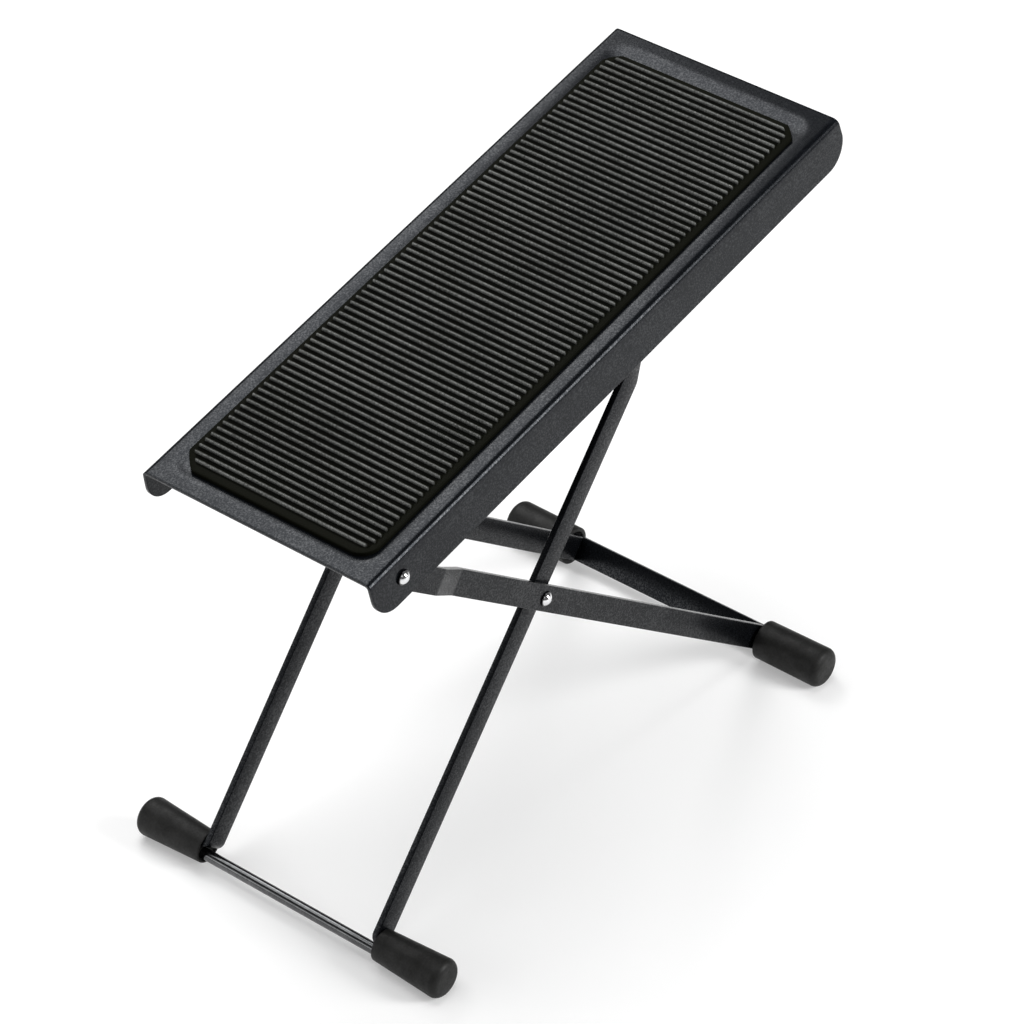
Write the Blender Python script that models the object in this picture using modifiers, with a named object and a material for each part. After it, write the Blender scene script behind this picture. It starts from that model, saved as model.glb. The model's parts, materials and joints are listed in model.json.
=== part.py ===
# Folding guitar footrest: a bent sheet foot plate with a ribbed rubber mat, on two crossed
# frames of flat steel bar that end in rubber feet.
# Metres, +Z up, floor at z = 0, +X towards the raised end of the plate, -Y the near side.

import math

import bmesh
import bpy
from mathutils import Matrix, Vector

# Clearances
GAP = 0.0003
HOLE_CLEARANCE = 0.0003
OVERRUN = 0.004
WELD = 0.00001

# Foot plate sheet
PLATE_LENGTH = 0.3000
PLATE_WIDTH = 0.1140
SHEET = 0.0015
BEND_RADIUS = 0.0028
FLANGE_DEPTH = 0.0203
FLANGE_FLARE = math.radians(3.3)
FLANGE_OVERHANG = 0.0012
NOSE_RADIUS = 0.0113

# Pressed tray that holds the mat
TRAY_DEPTH = 0.0012
TRAY_WALL = 0.0025
TRAY_END_MARGIN = 0.0065
TRAY_SIDE_MARGIN = 0.0060
TRAY_CORNER = 0.0100

# Rubber mat
MAT_LOW_CLEARANCE = 0.0006
MAT_HIGH_CLEARANCE = 0.0029
MAT_SIDE_CLEARANCE = 0.0005
MAT_CORNER = 0.0080
MAT_BASE = 0.0021
RIB_PITCH = 0.00353
RIB_FOOT = 0.0023
RIB_CREST = 0.0010
RIB_HEIGHT = 0.00145
RIB_END_MARGIN = 0.0038
RIB_SIDE_MARGIN = 0.0022
RIB_FIELD_CORNER = 0.0060

# Folding linkage, distances between the axes
HINGE_ALONG = 0.0170
HINGE_DEPTH = 0.0101
UPPER_LINK_LENGTH = 0.1197
LEG_LOWER_LENGTH = 0.1539
ARM_LOWER_LENGTH = 0.1905
FIRST_NOTCH = 0.1731
RACK_SLOPE = math.radians(4.96)

# Arms, the pair that carries the plate hinge and the rear feet
ARM_WIDTH = 0.01105
ARM_THICKNESS = 0.0029
ARM_SIDE_CLEARANCE = 0.0046
ARM_JOGGLE_START = 0.0310
ARM_JOGGLE_END = 0.0500

# Legs, the pair that carries the locking rod and the front feet
LEG_WIDTH = 0.0110
LEG_THICKNESS = 0.0027
SPACER_THICKNESS = 0.0013
LEG_JOGGLE_END = 0.0085
LEG_JOGGLE_RUN = 0.0187
LEG_JOGGLE_IN = 0.0050

# Bends of the bars
TAB_INSIDE_RADIUS = 0.0013
JOGGLE_RADIUS = 0.0080

# Cross members
ROD_RADIUS = 0.0025
ROD_SEAT_RADIUS = 0.0020
ROD_HEAD_RADIUS = 0.0032
ROD_HEAD = 0.0013
ROD_WASHER_RADIUS = 0.0040
ROD_WASHER = 0.0006

# Rubber feet
FRONT_TAB_RISE = 0.0012
FRONT_FOOT_WALL = 0.0013
FRONT_FOOT_TAPER = 0.0016
FRONT_FOOT_LENGTH = 0.0342
REAR_FOOT_WALL = 0.0030
REAR_FOOT_TAPER = 0.00025
REAR_FOOT_LENGTH = 0.0337
REAR_FOOT_STANDOFF = 0.0014
FOOT_END_RADIUS = 0.0027
FOOT_LIP_RADIUS = 0.0008
FOOT_END_WALL = 0.0070
FOOT_MOUTH_DEPTH = 0.0018
FOOT_MOUTH_EASE = 0.0008

# Rivets and washers
RIVET_SHANK = 0.0020
RIVET_HEAD_RADIUS = 0.0033
RIVET_HEAD_HEIGHT = 0.0019
CLINCH_RADIUS = 0.0031
CLINCH_HEIGHT = 0.0012
WASHER_RADIUS = 0.0045
WASHER = 0.0008
SPACER_RADIUS = 0.0050

# Notched strips under the plate
RACK_SIDE_CLEARANCE = 0.0064
RACK_THICKNESS = 0.0020
RACK_FOOT_WIDTH = 0.0120
NOTCH_COUNT = 5
NOTCH_PITCH = 0.0116
NOTCH_DEPTH = 0.0050
NOTCH_LEAD = 0.0052
NOTCH_ROOT = 0.0022
RACK_LOW_MARGIN = 0.0110
RACK_HIGH_MARGIN = 0.0120
RACK_END_SLOPE = 0.0090

# Facets
LATHE_STEPS = 40
SMALL_LATHE_STEPS = 28
BEND_SEGMENTS = 5
CORNER_SEGMENTS = 8
ARC_SEGMENTS = 10
SHARP_ANGLE = math.radians(35)

SIDES = (("near", -1), ("far", 1))


# Sizes that follow from the ones above; widths are measured outwards from the middle plane

TRAY_FLOOR_LENGTH = PLATE_LENGTH - 2 * TRAY_END_MARGIN - 2 * TRAY_WALL
TRAY_FLOOR_WIDTH = PLATE_WIDTH - 2 * TRAY_SIDE_MARGIN - 2 * TRAY_WALL
MAT_LENGTH = TRAY_FLOOR_LENGTH - MAT_LOW_CLEARANCE - MAT_HIGH_CLEARANCE
MAT_WIDTH = TRAY_FLOOR_WIDTH - 2 * MAT_SIDE_CLEARANCE
MAT_MIDDLE = (PLATE_LENGTH + MAT_LOW_CLEARANCE - MAT_HIGH_CLEARANCE) / 2
RIB_COUNT = 1 + int((MAT_LENGTH - 2 * RIB_END_MARGIN - RIB_FOOT) / RIB_PITCH)
ARM_REACH = ARM_WIDTH / 2
LEG_REACH = LEG_WIDTH / 2
FRONT_FOOT_INNER_RADIUS = LEG_REACH + GAP + FRONT_FOOT_WALL
FRONT_FOOT_OUTER_RADIUS = FRONT_FOOT_INNER_RADIUS + FRONT_FOOT_TAPER
REAR_FOOT_INNER_RADIUS = ARM_REACH + GAP + REAR_FOOT_WALL
REAR_FOOT_OUTER_RADIUS = REAR_FOOT_INNER_RADIUS + REAR_FOOT_TAPER
FLANGE_INNER = PLATE_WIDTH / 2 - SHEET / math.cos(FLANGE_FLARE)
ARM_FACE = FLANGE_INNER - ARM_SIDE_CLEARANCE
SPACER_OUT = ARM_FACE - ARM_THICKNESS - GAP
SPACER_IN = SPACER_OUT - SPACER_THICKNESS
LEG_FACE = SPACER_IN - GAP
ARM_MID = ARM_FACE - ARM_THICKNESS / 2
LEG_MID = LEG_FACE - LEG_THICKNESS / 2
LEG_TOP_MID = LEG_MID - LEG_JOGGLE_IN
RACK_FACE = LEG_TOP_MID - LEG_THICKNESS / 2 - RACK_SIDE_CLEARANCE


# Linkage geometry in the XZ plane

def polar(length, angle):
    return Vector((length * math.cos(angle), length * math.sin(angle)))


def flange_outline():
    """Side outline of the plate as (distance along, depth) pairs."""
    high = PLATE_LENGTH + FLANGE_OVERHANG
    low_arc = arc((NOSE_RADIUS, FLANGE_DEPTH - NOSE_RADIUS), NOSE_RADIUS, math.pi, math.pi / 2)
    high_arc = arc((high - NOSE_RADIUS, FLANGE_DEPTH - NOSE_RADIUS), NOSE_RADIUS, math.pi / 2, 0)
    return [(0, 0)] + low_arc + high_arc + [(PLATE_LENGTH, 0)]


def arc(centre, radius, start, end, segments=ARC_SEGMENTS):
    points = []
    for step in range(segments + 1):
        angle = start + (end - start) * step / segments
        points.append((centre[0] + radius * math.cos(angle), centre[1] + radius * math.sin(angle)))
    return points


def solve_linkage():
    """Work out where the axes stand when the locking rod is at the first notch."""
    apex = 2 * math.asin(FIRST_NOTCH / (2 * UPPER_LINK_LENGTH))
    leg = LEG_LOWER_LENGTH
    arm = ARM_LOWER_LENGTH
    base = math.sqrt(leg ** 2 + arm ** 2 - 2 * leg * arm * math.cos(apex))
    rise = math.asin((REAR_FOOT_OUTER_RADIUS - FRONT_FOOT_OUTER_RADIUS) / base)
    front_angle = math.acos((leg ** 2 + base ** 2 - arm ** 2) / (2 * leg * base))
    leg_angle = front_angle + rise
    arm_angle = leg_angle + apex
    front = Vector((0, FRONT_FOOT_OUTER_RADIUS))
    crossing = front + polar(leg, leg_angle)
    rear = crossing - polar(arm, arm_angle)
    hinge = crossing + polar(UPPER_LINK_LENGTH, arm_angle)
    rod = crossing + polar(UPPER_LINK_LENGTH, leg_angle)
    notch_line = rod - hinge
    tilt = math.atan2(notch_line.y, notch_line.x) + RACK_SLOPE
    along = polar(1, tilt)
    down = Vector((along.y, -along.x))
    corner = hinge - along * HINGE_ALONG - down * HINGE_DEPTH
    edge = [corner + along * s + down * d for s, d in flange_outline()]
    spans = [point.x for point in edge]
    spans += [front.x - FRONT_FOOT_OUTER_RADIUS, rear.x + REAR_FOOT_OUTER_RADIUS]
    centre = Vector(((min(spans) + max(spans)) / 2, 0))
    return {
        "leg_angle": leg_angle,
        "arm_angle": arm_angle,
        "tilt": tilt,
        "crossing": crossing - centre,
        "hinge": hinge - centre,
    }


LINKAGE = solve_linkage()

# Places that follow from the linkage

ARM_TOP_MID = FLANGE_INNER + (HINGE_DEPTH - ARM_REACH) * math.tan(FLANGE_FLARE) - GAP - ARM_THICKNESS / 2
HINGE_SEAT = PLATE_WIDTH / 2 + (HINGE_DEPTH + RIVET_HEAD_RADIUS) * math.tan(FLANGE_FLARE) + GAP
HINGE_WASHER_OUT = ARM_TOP_MID - ARM_THICKNESS / 2 - GAP
HINGE_CLINCH_OUT = HINGE_WASHER_OUT - WASHER - GAP
CROSSING_SEAT = ARM_FACE + GAP
CROSSING_WASHER_OUT = LEG_FACE - LEG_THICKNESS - GAP
CROSSING_CLINCH_OUT = CROSSING_WASHER_OUT - WASHER - GAP
FRONT_TAB = FRONT_TAB_RISE - LEG_LOWER_LENGTH
FRONT_ROD = FRONT_TAB - LEG_THICKNESS / 2 - GAP - ROD_RADIUS
REAR_TAB = (ARM_THICKNESS + GAP) / 2 - ARM_LOWER_LENGTH
REAR_BAR = REAR_TAB - ARM_THICKNESS - GAP
FRONT_FOOT_IN = LEG_FACE + GAP
REAR_FOOT_IN = ARM_FACE + REAR_FOOT_STANDOFF
FRONT_TAB_END = FRONT_FOOT_IN + FRONT_FOOT_LENGTH - FOOT_END_WALL
REAR_TAB_END = REAR_FOOT_IN + REAR_FOOT_LENGTH - FOOT_END_WALL
HOLE_RADIUS = RIVET_SHANK + HOLE_CLEARANCE


# Scene helpers

def clear_scene():
    for item in list(bpy.data.objects):
        bpy.data.objects.remove(item, do_unlink=True)


def new_collection(name):
    collection = bpy.data.collections.new(name)
    bpy.context.scene.collection.children.link(collection)
    return collection


def new_material(name, color, roughness, metallic):
    material = bpy.data.materials.new(name)
    material.use_nodes = True
    shader = material.node_tree.nodes["Principled BSDF"]
    shader.inputs["Base Color"].default_value = (*color, 1)
    shader.inputs["Roughness"].default_value = roughness
    shader.inputs["Metallic"].default_value = metallic
    material.diffuse_color = (*color, 1)
    return material


def place(mesh, name, parent, matrix=None):
    item = bpy.data.objects.new(name, mesh)
    item.parent = parent
    if matrix is not None:
        item.matrix_basis = matrix
    return item


def add_part(mesh, name, parent, material, matrix=None):
    item = place(mesh, name, parent, matrix)
    mesh.materials.clear()
    mesh.materials.append(material)
    PARTS.objects.link(item)
    return item


def add_cutter(mesh, name, parent, matrix=None):
    item = place(mesh, name, parent, matrix)
    item.hide_render = True
    item.display_type = "WIRE"
    CUTTERS.objects.link(item)
    return item


def boolean(item, cutter, operation="DIFFERENCE"):
    modifier = item.modifiers.new(cutter.name, "BOOLEAN")
    modifier.operation = operation
    modifier.solver = "EXACT"
    modifier.object = cutter


def add_axis(name, position, angle):
    """Empty on an axis along Y, turned so that its +X points up at the given angle."""
    axis = bpy.data.objects.new(name, None)
    axis.location = (position.x, 0, position.y)
    axis.rotation_euler = (0, -angle, 0)
    axis.empty_display_size = UPPER_LINK_LENGTH
    PARTS.objects.link(axis)
    return axis


def finish_mesh(bm, name):
    bmesh.ops.recalc_face_normals(bm, faces=bm.faces)
    mesh = bpy.data.meshes.new(name)
    bm.to_mesh(mesh)
    bm.free()
    return mesh


# Shape helpers

def smooth(mesh):
    mesh.shade_smooth()
    mesh.set_sharp_from_angle(angle=SHARP_ANGLE)


def turned(name, profile):
    """Open or closed (radius, height) profile, read from the top down, for a Screw modifier."""
    closed = profile[0][0] > 0
    bm = bmesh.new()
    verts = [bm.verts.new((radius, 0, height)) for radius, height in profile]
    pairs = list(zip(verts, verts[1:]))
    if closed:
        pairs.append((verts[-1], verts[0]))
    for pair in pairs:
        bm.edges.new(pair)
    mesh = bpy.data.meshes.new(name)
    bm.to_mesh(mesh)
    bm.free()
    return mesh


def add_screw(item, steps):
    modifier = item.modifiers.new("turn", "SCREW")
    modifier.axis = "Z"
    modifier.angle = math.tau
    modifier.steps = steps
    modifier.render_steps = steps
    modifier.use_merge_vertices = True
    modifier.merge_threshold = WELD
    modifier.use_smooth_shade = False


def outward(side, along, offset, turn=0):
    """Local matrix that points +Z outwards on one side, at a place on the bar's own axis."""
    quarter = Matrix.Rotation(-side * math.pi / 2, 4, "X")
    return Matrix.Translation((along, side * offset, 0)) @ Matrix.Rotation(turn, 4, "Y") @ quarter


def add_turned(name, profile, steps, parent, material, matrix):
    item = add_part(turned(name, profile), name, parent, material, matrix)
    add_screw(item, steps)
    return item


def cylinder_along_y(name, radius, reach, parent, along=0, depth=0, side=0, start=0):
    """Cylinder along Y: right across, or on one side from start to reach."""
    bm = bmesh.new()
    length = 2 * reach if side == 0 else reach - start
    middle = 0 if side == 0 else side * (reach + start) / 2
    bmesh.ops.create_cone(bm, cap_ends=True, segments=SMALL_LATHE_STEPS, radius1=radius,
                          radius2=radius, depth=length)
    bmesh.ops.rotate(bm, cent=(0, 0, 0), matrix=Matrix.Rotation(math.pi / 2, 3, "X"), verts=bm.verts)
    bmesh.ops.translate(bm, verts=bm.verts, vec=(along, middle, -depth))
    return add_cutter(finish_mesh(bm, name), name, parent)


def box_mesh(name, low, high):
    bm = bmesh.new()
    bmesh.ops.create_cube(bm, size=1)
    size = Vector(high) - Vector(low)
    middle = (Vector(high) + Vector(low)) / 2
    bmesh.ops.scale(bm, vec=size, verts=bm.verts)
    bmesh.ops.translate(bm, vec=middle, verts=bm.verts)
    return finish_mesh(bm, name)


def outline_mesh(name, points, thickness):
    """Solid from a closed (x, z) outline, as thick as given along Y."""
    curve = bpy.data.curves.new(name, "CURVE")
    curve.dimensions = "2D"
    curve.fill_mode = "BOTH"
    curve.extrude = thickness / 2
    spline = curve.splines.new("POLY")
    spline.points.add(len(points) - 1)
    for point, (x, z) in zip(spline.points, points):
        point.co = (x, z, 0, 1)
    spline.use_cyclic_u = True
    holder = bpy.data.objects.new(name, curve)
    bpy.context.scene.collection.objects.link(holder)
    graph = bpy.context.evaluated_depsgraph_get()
    mesh = bpy.data.meshes.new_from_object(holder.evaluated_get(graph))
    bpy.data.objects.remove(holder, do_unlink=True)
    bpy.data.curves.remove(curve)
    bm = bmesh.new()
    bm.from_mesh(mesh)
    bpy.data.meshes.remove(mesh)
    bmesh.ops.remove_doubles(bm, verts=bm.verts, dist=WELD)
    bmesh.ops.rotate(bm, cent=(0, 0, 0), matrix=Matrix.Rotation(math.pi / 2, 3, "X"), verts=bm.verts)
    return finish_mesh(bm, name)


def rounded_pad(name, rings, corner, middle):
    """Rounded rectangle through rings of (length, width, height), lowest first."""
    length, width, height = rings[0]
    bm = bmesh.new()
    bmesh.ops.create_grid(bm, x_segments=1, y_segments=1, size=0.5)
    bmesh.ops.scale(bm, vec=(length, width, 1), verts=bm.verts)
    bmesh.ops.bevel(bm, geom=list(bm.verts), offset=corner, segments=CORNER_SEGMENTS, profile=0.5,
                    affect="VERTICES", clamp_overlap=True)
    bmesh.ops.translate(bm, vec=(middle, 0, height), verts=bm.verts)
    layer = list(bm.faces)
    low = (length, width, height)
    for high in rings[1:]:
        grown = bmesh.ops.extrude_face_region(bm, geom=layer)
        if low != rings[0]:
            bmesh.ops.delete(bm, geom=layer, context="FACES_ONLY")
        verts = [item for item in grown["geom"] if isinstance(item, bmesh.types.BMVert)]
        layer = [item for item in grown["geom"] if isinstance(item, bmesh.types.BMFace)]
        bmesh.ops.translate(bm, vec=(-middle, 0, high[2] - low[2]), verts=verts)
        bmesh.ops.scale(bm, vec=(high[0] / low[0], high[1] / low[1], 1), verts=verts)
        bmesh.ops.translate(bm, vec=(middle, 0, 0), verts=verts)
        low = high
    return finish_mesh(bm, name)


def strip_mesh(name, spine, radii, width):
    """Open strip along an (x, y) spine, its bends rounded, for a Solidify modifier."""
    bm = bmesh.new()
    verts = [bm.verts.new((x, y, -width / 2)) for x, y in spine]
    edges = [bm.edges.new(pair) for pair in zip(verts, verts[1:])]
    grown = bmesh.ops.extrude_edge_only(bm, edges=edges)
    moved = [item for item in grown["geom"] if isinstance(item, bmesh.types.BMVert)]
    bmesh.ops.translate(bm, vec=(0, 0, width), verts=moved)
    for index, radius in enumerate(radii, start=1):
        before = Vector(spine[index]) - Vector(spine[index - 1])
        after = Vector(spine[index + 1]) - Vector(spine[index])
        turn = before.angle(after)
        corner = Vector(spine[index])
        edge = [item for item in bm.edges if all(near(vert, corner) for vert in item.verts)]
        bmesh.ops.bevel(bm, geom=edge, offset=radius * math.tan(turn / 2), segments=BEND_SEGMENTS,
                        profile=0.5, affect="EDGES", clamp_overlap=False)
    end = Vector(spine[-1])
    tips = [vert for vert in bm.verts if near(vert, end)]
    bmesh.ops.bevel(bm, geom=tips, offset=width / 2, segments=CORNER_SEGMENTS, profile=0.5,
                    affect="VERTICES", clamp_overlap=True)
    bmesh.ops.remove_doubles(bm, verts=bm.verts, dist=WELD)
    return finish_mesh(bm, name)


def near(vert, point):
    return (Vector((vert.co.x, vert.co.y)) - point).length < WELD


def add_strip(name, spine, radii, width, thickness, parent, material):
    item = add_part(strip_mesh(name, spine, radii, width), name, parent, material)
    solidify = item.modifiers.new("thickness", "SOLIDIFY")
    solidify.thickness = thickness
    solidify.offset = 0
    solidify.use_even_offset = True
    return item


# Foot plate body

def plate_point(along=0, height=0):
    """Place on the plate, from its low end and its top face, seen from the hinge axis."""
    return Matrix.Translation((along - HINGE_ALONG, 0, height + HINGE_DEPTH))


def channel_mesh():
    """Outer face of the bent sheet, longer than the plate at both ends."""
    spread = PLATE_WIDTH / 2 + (FLANGE_DEPTH + OVERRUN) * math.tan(FLANGE_FLARE)
    half = PLATE_WIDTH / 2
    bottom = -FLANGE_DEPTH - OVERRUN
    section = [(-spread, bottom), (-half, 0), (half, 0), (spread, bottom)]
    bm = bmesh.new()
    verts = [bm.verts.new((-OVERRUN, y, z)) for y, z in section]
    edges = [bm.edges.new(pair) for pair in zip(verts, verts[1:])]
    grown = bmesh.ops.extrude_edge_only(bm, edges=edges)
    moved = [item for item in grown["geom"] if isinstance(item, bmesh.types.BMVert)]
    bmesh.ops.translate(bm, vec=(PLATE_LENGTH + FLANGE_OVERHANG + 2 * OVERRUN, 0, 0), verts=moved)
    folds = [edge for edge in bm.edges if len(edge.link_faces) == 2]
    setback = BEND_RADIUS * math.tan((math.pi / 2 - FLANGE_FLARE) / 2)
    bmesh.ops.bevel(bm, geom=folds, offset=setback, segments=BEND_SEGMENTS, profile=0.5,
                    affect="EDGES", clamp_overlap=False)
    bmesh.ops.recalc_face_normals(bm, faces=bm.faces)
    top = max(bm.faces, key=lambda face: face.calc_area())
    if top.normal.z < 0:
        bmesh.ops.reverse_faces(bm, faces=bm.faces)
    mesh = bpy.data.meshes.new("foot_plate")
    bm.to_mesh(mesh)
    bm.free()
    return mesh


def tray_rings(drop, grow):
    """Rings of the pressed tray, or of its underside when dropped and grown by the sheet."""
    length = TRAY_FLOOR_LENGTH + 2 * grow
    width = TRAY_FLOOR_WIDTH + 2 * grow
    return (length, width, -TRAY_DEPTH - drop), (length + 2 * TRAY_WALL, width + 2 * TRAY_WALL, -drop)


def build_plate(axis, paint, hinge_hole):
    plate = add_part(channel_mesh(), "foot_plate", axis, paint, plate_point())
    solidify = plate.modifiers.new("sheet", "SOLIDIFY")
    solidify.thickness = SHEET
    solidify.offset = -1
    solidify.use_even_offset = True
    outline = [(along, -depth) for along, depth in flange_outline()]
    blank = outline_mesh("plate_blank", outline, 2 * PLATE_WIDTH)
    blank = add_cutter(blank, "plate_blank", axis, plate_point())
    boolean(plate, blank, "INTERSECT")
    shift = SHEET * math.tan(math.atan2(TRAY_DEPTH, TRAY_WALL) / 2)
    middle = PLATE_LENGTH / 2
    floor, rim = tray_rings(SHEET, shift)
    inside = (rim[0], rim[1], rim[2] + SHEET / 2)
    bulge = rounded_pad("tray_underside", (floor, rim, inside), TRAY_CORNER, middle)
    boolean(plate, add_cutter(bulge, "tray_underside", axis, plate_point()), "UNION")
    floor, rim = tray_rings(0, 0)
    above = (rim[0], rim[1], rim[2] + OVERRUN)
    tray = rounded_pad("tray", (floor, rim, above), TRAY_CORNER, middle)
    boolean(plate, add_cutter(tray, "tray", axis, plate_point()))
    boolean(plate, hinge_hole)


def rib_outline(base):
    """Comb of ribs over a strip that sinks half way into the mat's base."""
    first = -(RIB_COUNT - 1) / 2 * RIB_PITCH
    reach = -first + RIB_PITCH / 2
    points = [(reach, base / 2), (reach, base)]
    for index in reversed(range(RIB_COUNT)):
        middle = first + index * RIB_PITCH
        points.append((middle + RIB_FOOT / 2, base))
        points.append((middle + RIB_CREST / 2, base + RIB_HEIGHT))
        points.append((middle - RIB_CREST / 2, base + RIB_HEIGHT))
        points.append((middle - RIB_FOOT / 2, base))
    points += [(-reach, base), (-reach, base / 2)]
    return points


def build_mat(axis, rubber):
    place_mat = plate_point(MAT_MIDDLE, GAP - TRAY_DEPTH)
    size = (MAT_LENGTH, MAT_WIDTH)
    mat = add_part(rounded_pad("rubber_mat", ((*size, 0), (*size, MAT_BASE)), MAT_CORNER, 0), "rubber_mat",
                   axis, rubber, place_mat)
    comb = add_cutter(outline_mesh("mat_comb", rib_outline(MAT_BASE), MAT_WIDTH), "mat_comb", axis, place_mat)
    length = (RIB_COUNT - 1) * RIB_PITCH + RIB_FOOT
    width = MAT_WIDTH - 2 * RIB_SIDE_MARGIN
    rings = ((length, width, 0), (length, width, MAT_BASE + RIB_HEIGHT + OVERRUN))
    field = rounded_pad("mat_rib_field", rings, RIB_FIELD_CORNER, 0)
    field = add_cutter(field, "mat_rib_field", axis, place_mat)
    boolean(comb, field, "INTERSECT")
    boolean(mat, comb, "UNION")


def rack_outline():
    """Side outline of a notched strip as (distance along the plate, height) pairs."""
    root = Vector((HINGE_ALONG, -HINGE_DEPTH))
    along = polar(1, -RACK_SLOPE)
    up = Vector((-along.y, along.x))
    clear = ROD_RADIUS + GAP
    top = -SHEET - TRAY_DEPTH - GAP

    def spot(distance, height):
        point = root + along * distance + up * height
        return (point.x, point.y)

    points = []
    for index in range(NOTCH_COUNT):
        notch = FIRST_NOTCH + index * NOTCH_PITCH
        points.append(spot(notch - NOTCH_LEAD, clear))
        points.append(spot(notch - NOTCH_ROOT, clear + NOTCH_DEPTH))
        points.append(spot(notch + clear, clear + NOTCH_DEPTH))
        points.append(spot(notch + clear, clear))
    start = spot(FIRST_NOTCH - NOTCH_LEAD - RACK_LOW_MARGIN, clear)
    end = spot(FIRST_NOTCH + (NOTCH_COUNT - 1) * NOTCH_PITCH + clear + RACK_HIGH_MARGIN, clear)
    outer_low = (start[0] - RACK_END_SLOPE, top)
    outer_high = (end[0] + RACK_END_SLOPE, top)
    return [outer_low, start] + points + [end, outer_high]


def build_racks(axis, paint):
    outline = rack_outline()
    low = outline[0]
    high = outline[-1]
    for side_name, side in SIDES:
        name = "rack_" + side_name
        web = outline_mesh(name, outline, RACK_THICKNESS)
        middle = side * (RACK_FACE - RACK_THICKNESS / 2)
        rack = add_part(web, name, axis, paint, plate_point() @ Matrix.Translation((0, middle, 0)))
        sides = sorted((side * (RACK_FACE - RACK_FOOT_WIDTH), middle))
        under = (low[0], sides[0], low[1] - RACK_THICKNESS)
        over = (high[0], sides[1], low[1])
        foot = box_mesh(name + "_foot", under, over)
        boolean(rack, add_cutter(foot, name + "_foot", axis, plate_point()), "UNION")


def rivet_profile(length):
    """Domed head above height 0, shank down to the clinched end."""
    crown = RIVET_HEAD_HEIGHT
    sphere = (RIVET_HEAD_RADIUS ** 2 + crown ** 2) / (2 * crown)
    edge = math.asin(RIVET_HEAD_RADIUS / sphere)
    dome = arc((0, crown - sphere), sphere, math.pi / 2, math.pi / 2 - edge, CORNER_SEGMENTS)
    dome[0] = (0, crown)
    dome[-1] = (RIVET_HEAD_RADIUS, 0)
    inner_edge = CLINCH_RADIUS - CLINCH_HEIGHT / 2
    return dome + [
        (RIVET_SHANK, 0),
        (RIVET_SHANK, -length),
        (CLINCH_RADIUS, -length),
        (CLINCH_RADIUS, -length - CLINCH_HEIGHT / 2),
        (inner_edge, -length - CLINCH_HEIGHT),
        (0, -length - CLINCH_HEIGHT),
    ]


def ring_profile(inner, outer, thickness):
    """Closed section of a washer whose outer face is at height 0."""
    return [(outer, 0), (outer, -thickness), (inner, -thickness), (inner, 0)]


def build_hinges(axis, chrome, zinc):
    for side_name, side in SIDES:
        profile = rivet_profile(HINGE_SEAT - HINGE_CLINCH_OUT)
        add_turned("hinge_rivet_" + side_name, profile, SMALL_LATHE_STEPS, axis, chrome,
                   outward(side, 0, HINGE_SEAT))
        ring = ring_profile(HOLE_RADIUS, WASHER_RADIUS, WASHER)
        add_turned("hinge_washer_" + side_name, ring, SMALL_LATHE_STEPS, axis, zinc,
                   outward(side, 0, HINGE_WASHER_OUT))


# Rear frame: arms, cross bar, feet and the rivets at the crossing

def tab_radius(thickness):
    return TAB_INSIDE_RADIUS + thickness / 2


def build_arms(axis, paint, hinge_hole, crossing_hole):
    for side_name, side in SIDES:
        spine = [
            (REAR_TAB, side * REAR_TAB_END),
            (REAR_TAB, side * ARM_MID),
            (UPPER_LINK_LENGTH - ARM_JOGGLE_END, side * ARM_MID),
            (UPPER_LINK_LENGTH - ARM_JOGGLE_START, side * ARM_TOP_MID),
            (UPPER_LINK_LENGTH + ARM_REACH, side * ARM_TOP_MID),
        ]
        radii = (tab_radius(ARM_THICKNESS), JOGGLE_RADIUS, JOGGLE_RADIUS)
        arm = add_strip("arm_" + side_name, spine, radii, ARM_WIDTH, ARM_THICKNESS, axis, paint)
        boolean(arm, hinge_hole)
        boolean(arm, crossing_hole)


def build_rear_bar(axis, paint):
    low = (REAR_BAR - ARM_THICKNESS / 2, -REAR_TAB_END, -ARM_REACH)
    high = (REAR_BAR + ARM_THICKNESS / 2, REAR_TAB_END, ARM_REACH)
    add_part(box_mesh("rear_cross_bar", low, high), "rear_cross_bar", axis, paint)


def foot_profile(inner_radius, outer_radius, length):
    """Tapered rubber cap, outer end at the top and inner end at height 0."""
    quarter = math.pi / 2
    outer_centre = (outer_radius - FOOT_END_RADIUS, length - FOOT_END_RADIUS)
    outer = arc(outer_centre, FOOT_END_RADIUS, quarter, 0, BEND_SEGMENTS)
    inner_centre = (inner_radius - FOOT_LIP_RADIUS, FOOT_LIP_RADIUS)
    inner = arc(inner_centre, FOOT_LIP_RADIUS, 0, -quarter, BEND_SEGMENTS)
    return [(0, length)] + outer + inner + [(0, 0)]


def slot_cutter(name, axis, side, start, end, low, high, reach):
    """Box cut from start to end along Y on one side, low to high along the bar, reach across it."""
    sides = sorted((side * start, side * end))
    mesh = box_mesh(name, (low, sides[0], -reach), (high, sides[1], reach))
    return add_cutter(mesh, name, axis)


def build_rear_feet(axis, rubber):
    turn = LINKAGE["arm_angle"]
    for side_name, side in SIDES:
        name = "rear_foot_" + side_name
        profile = foot_profile(REAR_FOOT_INNER_RADIUS, REAR_FOOT_OUTER_RADIUS, REAR_FOOT_LENGTH)
        seat = outward(side, -ARM_LOWER_LENGTH, REAR_FOOT_IN, turn)
        foot = add_turned(name, profile, LATHE_STEPS, axis, rubber, seat)
        low = REAR_BAR - ARM_THICKNESS / 2 - GAP
        high = REAR_TAB + ARM_THICKNESS / 2 + GAP
        boolean(foot, slot_cutter(name + "_slot", axis, side, REAR_FOOT_IN - OVERRUN, REAR_TAB_END + GAP,
                                  low, high, ARM_REACH + GAP))


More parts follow.
